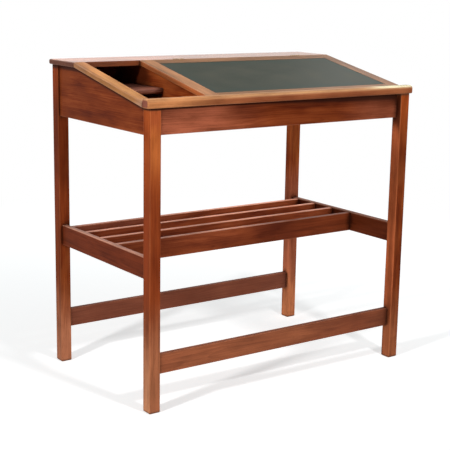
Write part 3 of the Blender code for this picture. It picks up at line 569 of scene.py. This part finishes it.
def woodFinish(name, look, seed):
    draw = random.Random(seed)
    own = boards.get(name, {})
    board = boardFrame(name)
    half = board["half"]
    material, bench = newMaterial(name + "Wood")
    places = boardPlaces(bench, board)
    along, across, through = places
    shift = draw.uniform(-figure["shiftRange"], figure["shiftRange"])
    pithAcross = draw.uniform(-1, 1) * figure["pithAcross"]
    pithBelow = draw.choice((-1, 1)) * draw.uniform(*figure["pithBelow"])
    grain = {key: grainNoise(bench, places, noise, shift) for key, noise in figure["noises"].items()}
    fibre, mottle = grain["fibre"], grain["mottle"]

    # growth rings round a pith that lies outside the board
    fromPith = bench.maths("SQRT", (across - pithAcross) ** 2 + (through - pithBelow) ** 2)
    ring = bench.maths("FRACT", (fromPith + (grain["drift"] - 0.5) * figure["wander"]) / figure["ringWidth"])
    lateWood = ring ** figure["ringPower"] * (1 - bench.smooth(ring, *figure["ringEnd"]))

    shares = figure["shares"]
    broad = (grain["streak"] - 0.5) * shares["streak"] + (mottle - 0.5) * shares["mottle"]
    tone = (fibre - 0.5) * shares["fibre"] + broad * look.get("broad", 1.0)
    tone = tone + (lateWood - figure["ringMean"]) * shares["ring"]
    tone = tone + (0.5 + draw.uniform(-figure["toneSpread"], figure["toneSpread"]))

    def toned(light, mid, dark):
        return bench.ramp(tone, list(zip(figure["toneStops"], (light, mid, dark))))

    def tinted(tint):     # the figure still shows in the tinted parts
        lighter, darker = (tuple(part * change for part in tint) for change in figure["tintRange"])
        return toned(lighter, tint, darker)

    colour = toned(look["light"], look["mid"], look["dark"])
    flush = bench.smooth(grain["flush"], *figure["flushRange"])
    colour = bench.mix(flush * figure["flushShare"], colour, look["flush"])
    if "tints" in own:
        full, fade = figure["tintFade"]
        strength = full - tone * fade
        drifted = (along + (mottle - 0.5) * figure["tintDrift"], across, through)     # no straight ends
        for tint in own["tints"]:
            reach = tintReach(bench, drifted, tint, strength)
            colour = bench.mix(reach, colour, tinted(tint["colour"]))
    pore = bench.smooth(grain["pore"], *figure["poreRange"])
    colour = bench.mix(pore * figure["poreShare"], colour, look["dark"])
    if "shade" in own:
        colour = bench.mix(1.0, colour, (own["shade"],) * 3, "MULTIPLY")

    # worn edges and darker end grain, from the distance to the board's faces
    toEnd, toSide, toFace = (half[i] - bench.maths("ABSOLUTE", places[i]) for i in range(3))
    nearer = bench.maths("MINIMUM", toSide, toFace)
    further = bench.maths("MAXIMUM", toSide, toFace)
    toEdge = bench.maths("MAXIMUM", nearer, bench.maths("MINIMUM", further, toEnd))
    worn = 1 - bench.smooth(toEdge + (mottle - 0.5) * figure["wearWidth"], 0.0, figure["wearWidth"])
    colour = bench.mix(worn * look["wear"], colour, look["edge"])
    endGrain = 1 - bench.smooth(toEnd, 0.0, look.get("endWidth", figure["endWidth"]))
    colour = bench.mix(endGrain * figure["endShare"], colour, look["end"])

    # painted shade in the corners where boards meet, and painted shadow under the overhangs
    openness = bench.node("ShaderNodeAmbientOcclusion", {"samples": figure["paintedShadeSamples"]},
                          {"Distance": figure["paintedShadeReach"]}, out="AO")
    paintedShade = bench.smooth(openness, *figure["paintedShadeRange"]) * figure["paintedShadeShare"]
    if "clean" in own:
        paintedShade = paintedShade * (1 - bench.smooth(along, *own["clean"]["along"]) * own["clean"]["share"])
    if name.startswith("leg_"):     # none at the feet
        paintedShade = paintedShade * bench.smooth(along, *(height - half[0] for height in figure["cleanFoot"]))
    if "lip" in own:
        paintedShade = bench.maths("MAXIMUM", paintedShade, paintedLipShadow(bench, board, places, own["lip"]))
    colour = bench.mix(paintedShade, colour, figure["paintedShade"])

    relief = fibre * figure["bumpShares"]["fibre"] - pore * figure["bumpShares"]["pore"]
    bump = bench.bump(relief, figure["bumpStrength"], figure["bumpHeight"])
    roughShares = figure["roughShares"]
    rough = (fibre - 0.5) * roughShares["fibre"] + endGrain * roughShares["end"] + look["rough"]
    lacquer = 0.0
    if look["lacquer"]:     # worn off all but the upper face
        height = board["order"].index(2)
        upper = bench.smooth(places[height], *(half[height] - depth for depth in figure["lacquerDepth"]))
        full, fade = figure["lacquerFade"]
        lacquer = upper * (full - fibre * fade) * look["lacquer"]
    bench.skin(Base_Color=colour, Roughness=rough, Normal=bump, Specular_IOR_Level=look["gloss"],
               Coat_Weight=lacquer, Coat_Roughness=figure["lacquerRough"])
    return material


# grey-green writing surface
inlay = {
    "stops": [(0.36, (0.027, 0.033, 0.023)), (0.52, (0.037, 0.041, 0.030)), (0.68, (0.052, 0.053, 0.038))],
    "shares": {"mottle": 0.8, "grain": 0.2},
    "mottle": {"scale": 9.0, "detail": 4.0, "roughness": 0.6},
    "grain": {"scale": 900.0, "detail": 2.0},
    "scratch": (0.060, 0.062, 0.048),
    "scratchScale": (6.0, 260.0),
    "scratchDetail": 3.0,
    "scratchRange": (0.62, 0.70),
    "scratchShare": 0.35,
    "rim": (0.028, 0.040, 0.031),
    "rimWidth": 0.07,
    "rimShare": 0.6,
    "border": (0.045, 0.027, 0.017),
    "borderWidth": 0.0035,
    "borderSharp": 0.7,
    "borderShare": 0.8,
    "rough": 0.46,
    "roughSpread": 0.12,
    "gloss": 0.14,
    "bumpStrength": 0.25,
    "bumpHeight": 0.0002,
}


def inlayFinish(name, look):
    board = boardFrame(name)
    material, bench = newMaterial(name + "Green")
    half = board["half"]
    along, across = boardPlaces(bench, board)[:2]
    flat = bench.vector(along, across, 0.0)
    mottle = bench.noise(flat, **look["mottle"])
    grain = bench.noise(flat, **look["grain"])
    colour = bench.ramp(mottle * look["shares"]["mottle"] + grain * look["shares"]["grain"], look["stops"])
    lengthways, sideways = look["scratchScale"]
    stretched = bench.vector(along * lengthways, across * sideways, 0.0)
    scratched = bench.smooth(bench.noise(stretched, detail=look["scratchDetail"]), *look["scratchRange"])
    colour = bench.mix(scratched * look["scratchShare"], colour, look["scratch"])
    toEnd = half[0] - bench.maths("ABSOLUTE", along)
    toSide = half[1] - bench.maths("ABSOLUTE", across)
    toRim = bench.maths("MINIMUM", toEnd, toSide)
    rim = 1 - bench.smooth(toRim + (mottle - 0.5) * look["rimWidth"], 0.0, look["rimWidth"])
    colour = bench.mix(rim * look["rimShare"], colour, look["rim"])
    border = 1 - bench.smooth(toRim, look["borderWidth"] * look["borderSharp"], look["borderWidth"])
    colour = bench.mix(border * look["borderShare"], colour, look["border"])
    rough = mottle * look["roughSpread"] + (look["rough"] - look["roughSpread"] / 2)
    bump = bench.bump(grain, look["bumpStrength"], look["bumpHeight"])
    bench.skin(Base_Color=colour, Roughness=rough, Normal=bump, Specular_IOR_Level=look["gloss"])
    return material


# aged brass of the hinges
brass = {
    "bright": (0.50, 0.38, 0.26),
    "dull": (0.32, 0.23, 0.16),
    "patches": {"scale": 140.0, "detail": 4.0, "roughness": 0.65},
    "grain": {"scale": 1800.0, "detail": 2.0},
    "grainShare": 0.15,
    "tarnishRange": (0.42, 0.68),
    "rough": 0.42,
    "tarnishRough": 0.2,
    "bumpStrength": 0.2,
    "bumpHeight": 0.00008,
}


def brassFinish(look):
    material, bench = newMaterial("agedBrass")
    spot = bench.node("ShaderNodeTexCoord", out="Object")
    patches = bench.noise(spot, **look["patches"])
    grain = bench.noise(spot, **look["grain"])
    tarnish = bench.smooth(patches + grain * look["grainShare"], *look["tarnishRange"])
    colour = bench.mix(tarnish, look["bright"], look["dull"])
    rough = tarnish * look["tarnishRough"] + look["rough"]
    bump = bench.bump(grain, look["bumpStrength"], look["bumpHeight"])
    bench.skin(Base_Color=colour, Roughness=rough, Metallic=1.0, Normal=bump)
    return material


def finishNamed(name):
    if "dowel" in name or "bottom" in name or name == "lid_core_panel":
        return "inner"
    if name.startswith("leg_") or name == "compartment_divider":
        return "leg"
    if name == "back_ledge":
        return "ledge"
    if name.startswith("pen_shelf"):
        return "shelf"
    if name == "front_rail":
        return "rail"
    if name.endswith("_stretcher"):
        return "stretcher"
    if name.startswith("shelf_slat") or name == "shelf_rail_left":
        return "slat"
    if name == "left_slope_rail":
        return "slope"
    if name.startswith("lid_"):
        return "lid"
    return "dark"     # aprons, side panels and the right shelf rail


def dressPieces():
    agedBrass = brassFinish(brass)
    for seed, name in enumerate(sorted(nodes)):
        if name.startswith("hinge_"):
            material = agedBrass
        elif name == "lid_inlay":
            material = inlayFinish(name, inlay)
        else:
            material = woodFinish(name, teak[finishNamed(name)], seed)
        piece = nodes[name]
        piece.data.materials.clear()
        piece.data.materials.append(material)


dressPieces()
print("finishes on")
